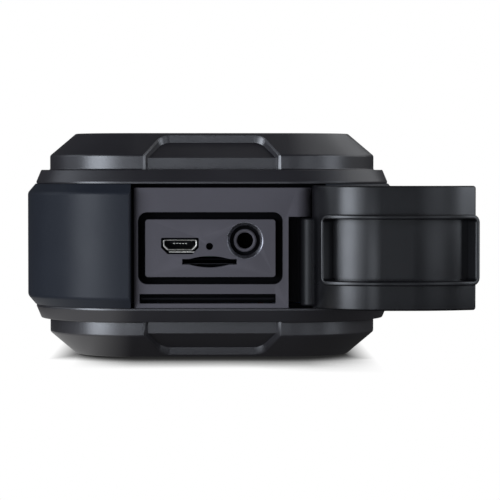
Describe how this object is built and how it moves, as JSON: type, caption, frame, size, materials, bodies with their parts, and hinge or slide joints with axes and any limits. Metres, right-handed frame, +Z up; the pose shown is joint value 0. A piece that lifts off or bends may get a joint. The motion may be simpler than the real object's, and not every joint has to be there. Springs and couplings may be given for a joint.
{
  "type": "portable speaker",
  "caption": "Rugged portable speaker with chamfered caps, a wraparound side band and a rubber cover that swings off a bay of charging, audio and card ports.",
  "frame": {"origin": "middle of the foot pad's underside", "axes": "+Z up through the grille, -Y out of the port side, +X to the hinge side of the port cover"},
  "size_m": [0.0979, 0.0969, 0.0497],
  "materials": {
    "cap_plastic": "fine moulded texture, satin",
    "band_plastic": "satin, slightly bluish",
    "inner_plastic": "plain moulded black",
    "panel_plastic": "fine spark-eroded texture, matte",
    "rubber": "smooth soft-touch rubber",
    "steel": "plated sheet steel",
    "dark_steel": "black oxide or black paint",
    "magnet": "ferrite with a plated yoke",
    "cloth": "fine acoustic weave",
    "paper": "pressed paper",
    "copper": "enamelled winding",
    "board": "solder mask",
    "battery_wrap": "shrink wrap",
    "foam": "closed-cell foam",
    "clear_plastic": "clear light guide",
    "wire": "insulated wire"
  },
  "bodies": {
    "speaker": {"audio_jack": "inner_plastic", "battery_lead": "wire", "battery_pack": "battery_wrap", "battery_pad": "foam", "board_screw_1": "dark_steel", "board_screw_2": "dark_steel", "card_socket": "steel", "case_screw_1": "dark_steel", "case_screw_2": "dark_steel", "case_screw_3": "dark_steel", "case_screw_4": "dark_steel", "cover_anchor": "rubber", "dome_switch_1": "steel", "dome_switch_2": "steel", "dome_switch_3": "steel", "dome_switch_4": "steel", "driver_basket": "dark_steel", "driver_lead": "wire", "driver_magnet": "magnet", "driver_screw_1": "dark_steel", "driver_screw_2": "dark_steel", "driver_screw_3": "dark_steel", "driver_screw_4": "dark_steel", "driver_surround": "rubber", "foot_pad": "rubber", "grille": "dark_steel", "grille_cloth": "cloth", "housing": "inner_plastic", "key_board": "board", "lower_cap": "cap_plastic", "lower_seal": "rubber", "main_board": "board", "microphone": "inner_plastic", "port_panel": "panel_plastic", "port_seal": "rubber", "side_band": "band_plastic", "status_light": "clear_plastic", "upper_cap": "cap_plastic", "upper_seal": "rubber", "usb_shell": "steel", "usb_tongue": "inner_plastic", "vent_louvre": "inner_plastic"},
    "cone": {"driver_cone": "paper", "voice_coil": "copper", "dust_cap": "paper"},
    "cover_1": {"cover_segment_1": "rubber"},
    "cover_2": {"cover_segment_2": "rubber"},
    "cover_3": {"cover_segment_3": "rubber"},
    "cover_4": {"cover_segment_4": "rubber"},
    "cover_5": {"cover_segment_5": "rubber"},
    "cover_6": {"cover_segment_6": "rubber"},
    "cover_7": {"cover_segment_7": "rubber"},
    "cover_8": {"cover_segment_8": "rubber"},
    "power_key_cap": {"power_key": "rubber"},
    "volume_down_key_cap": {"volume_down_key": "rubber"},
    "volume_up_key_cap": {"volume_up_key": "rubber"},
    "play_key_cap": {"play_key": "rubber"}
  },
  "joints": [
    {"name": "cover_hinge", "type": "hinge", "parent": "speaker", "child": "cover_1", "pos_m": [0.0229, -0.04045, 0.025], "axis": [0, 0, -1], "range_deg": [0, 105]},
    {"name": "cover_bend_2", "type": "hinge", "parent": "cover_1", "child": "cover_2", "pos_m": [0.02379, -0.04377, 0.025], "axis": [0, 0, -1], "range_deg": [0, 15]},
    {"name": "cover_bend_3", "type": "hinge", "parent": "cover_2", "child": "cover_3", "pos_m": [0.02551, -0.04675, 0.025], "axis": [0, 0, -1], "range_deg": [0, 15]},
    {"name": "cover_bend_4", "type": "hinge", "parent": "cover_3", "child": "cover_4", "pos_m": [0.02795, -0.04919, 0.025], "axis": [0, 0, -1], "range_deg": [0, 15]},
    {"name": "cover_bend_5", "type": "hinge", "parent": "cover_4", "child": "cover_5", "pos_m": [0.03093, -0.05091, 0.025], "axis": [0, 0, -1], "range_deg": [0, 15]},
    {"name": "cover_bend_6", "type": "hinge", "parent": "cover_5", "child": "cover_6", "pos_m": [0.03425, -0.0518, 0.025], "axis": [0, 0, -1], "range_deg": [0, 15]},
    {"name": "cover_bend_7", "type": "hinge", "parent": "cover_6", "child": "cover_7", "pos_m": [0.04534, -0.0518, 0.025], "axis": [0, 0, -1], "range_deg": [0, 12.5]},
    {"name": "cover_bend_8", "type": "hinge", "parent": "cover_7", "child": "cover_8", "pos_m": [0.05071, -0.05061, 0.025], "axis": [0, 0, -1], "range_deg": [0, 12.5]},
    {"name": "power_key_press", "type": "slide", "parent": "speaker", "child": "power_key_cap", "axis": [0, -1, 0], "range_m": [0, 0.0006], "stiffness_N_per_m": 1000},
    {"name": "volume_down_key_press", "type": "slide", "parent": "speaker", "child": "volume_down_key_cap", "axis": [0, -1, 0], "range_m": [0, 0.0006], "stiffness_N_per_m": 1000},
    {"name": "volume_up_key_press", "type": "slide", "parent": "speaker", "child": "volume_up_key_cap", "axis": [0, -1, 0], "range_m": [0, 0.0006], "stiffness_N_per_m": 1000},
    {"name": "play_key_press", "type": "slide", "parent": "speaker", "child": "play_key_cap", "axis": [0, -1, 0], "range_m": [0, 0.0006], "stiffness_N_per_m": 1000},
    {"name": "cone_stroke", "type": "slide", "parent": "speaker", "child": "cone", "axis": [0, 0, 1], "range_m": [-0.001, 0.001], "stiffness_N_per_m": 1500}
  ],
  "couplings": [
    {"joint": "cover_bend_2", "follows": "cover_hinge", "ratio": 0.14286},
    {"joint": "cover_bend_3", "follows": "cover_hinge", "ratio": 0.14286},
    {"joint": "cover_bend_4", "follows": "cover_hinge", "ratio": 0.14286},
    {"joint": "cover_bend_5", "follows": "cover_hinge", "ratio": 0.14286},
    {"joint": "cover_bend_6", "follows": "cover_hinge", "ratio": 0.14286},
    {"joint": "cover_bend_7", "follows": "cover_hinge", "ratio": 0.11905},
    {"joint": "cover_bend_8", "follows": "cover_hinge", "ratio": 0.11905}
  ]
}
